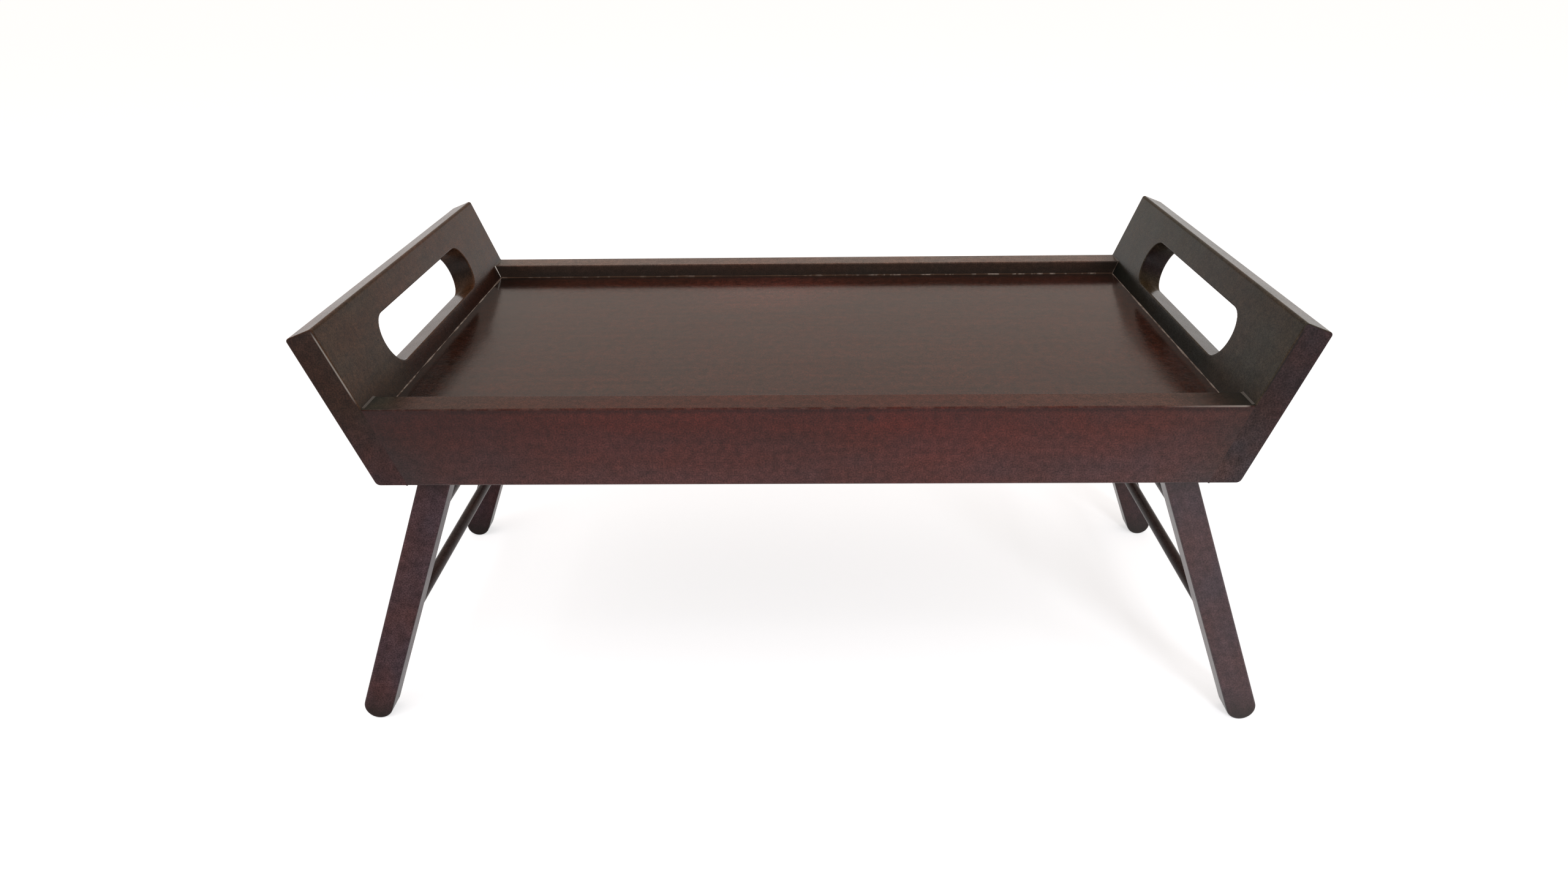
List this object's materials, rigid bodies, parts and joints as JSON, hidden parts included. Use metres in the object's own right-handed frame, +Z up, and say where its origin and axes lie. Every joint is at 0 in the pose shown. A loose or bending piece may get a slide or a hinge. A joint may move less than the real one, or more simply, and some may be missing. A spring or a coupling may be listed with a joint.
{
  "type": "bed tray table",
  "caption": "Folding bed tray table: shallow wooden tray with leaning end boards and hand slots, on splayed leg frames that fold flat beneath it.",
  "frame": {"origin": "on the surface that the open legs stand on, under the middle of the tray", "axes": "+Z up; +X to the right along the long side; the person sits towards +Y and the pictured front rail faces -Y"},
  "size_m": [0.6298, 0.33, 0.3017],
  "materials": {
    "board_wood": "dark espresso stain under satin-gloss lacquer",
    "floor_panel": "dark stained veneer under glossy lacquer",
    "leg_wood": "dark espresso stain under satin lacquer",
    "rung_wood": "dark espresso stain under satin lacquer",
    "dowel_wood": "bare beech, glued",
    "bolt_steel": "dark plated steel",
    "washer_steel": "plated steel",
    "spacer_nylon": "black nylon",
    "insert_brass": "plain turned brass"
  },
  "bodies": {
    "tray": {"front_rail": "board_wood", "back_rail": "board_wood", "left_end_board": "board_wood", "right_end_board": "board_wood", "tray_floor": "floor_panel", "front_left_pivot_bolt": "bolt_steel", "front_left_head_washer": "washer_steel", "front_left_leg_spacer": "spacer_nylon", "front_left_threaded_insert": "insert_brass", "front_left_lower_dowel": "dowel_wood", "front_left_upper_dowel": "dowel_wood", "back_left_pivot_bolt": "bolt_steel", "back_left_head_washer": "washer_steel", "back_left_leg_spacer": "spacer_nylon", "back_left_threaded_insert": "insert_brass", "back_left_lower_dowel": "dowel_wood", "back_left_upper_dowel": "dowel_wood", "front_right_pivot_bolt": "bolt_steel", "front_right_head_washer": "washer_steel", "front_right_leg_spacer": "spacer_nylon", "front_right_threaded_insert": "insert_brass", "front_right_lower_dowel": "dowel_wood", "front_right_upper_dowel": "dowel_wood", "back_right_pivot_bolt": "bolt_steel", "back_right_head_washer": "washer_steel", "back_right_leg_spacer": "spacer_nylon", "back_right_threaded_insert": "insert_brass", "back_right_lower_dowel": "dowel_wood", "back_right_upper_dowel": "dowel_wood"},
    "left_leg_frame": {"front_left_leg": "leg_wood", "back_left_leg": "leg_wood", "left_upper_rung": "rung_wood", "left_lower_rung": "rung_wood"},
    "right_leg_frame": {"front_right_leg": "leg_wood", "back_right_leg": "leg_wood", "right_upper_rung": "rung_wood", "right_lower_rung": "rung_wood"}
  },
  "joints": [
    {"name": "left_leg_fold", "type": "hinge", "parent": "tray", "child": "left_leg_frame", "pos_m": [-0.22928, 0, 0.21232], "axis": [0, -1, 0], "range_deg": [0, 110.5]},
    {"name": "right_leg_fold", "type": "hinge", "parent": "tray", "child": "right_leg_frame", "pos_m": [0.22928, 0, 0.21232], "axis": [0, 1, 0], "range_deg": [0, 110.5]}
  ]
}
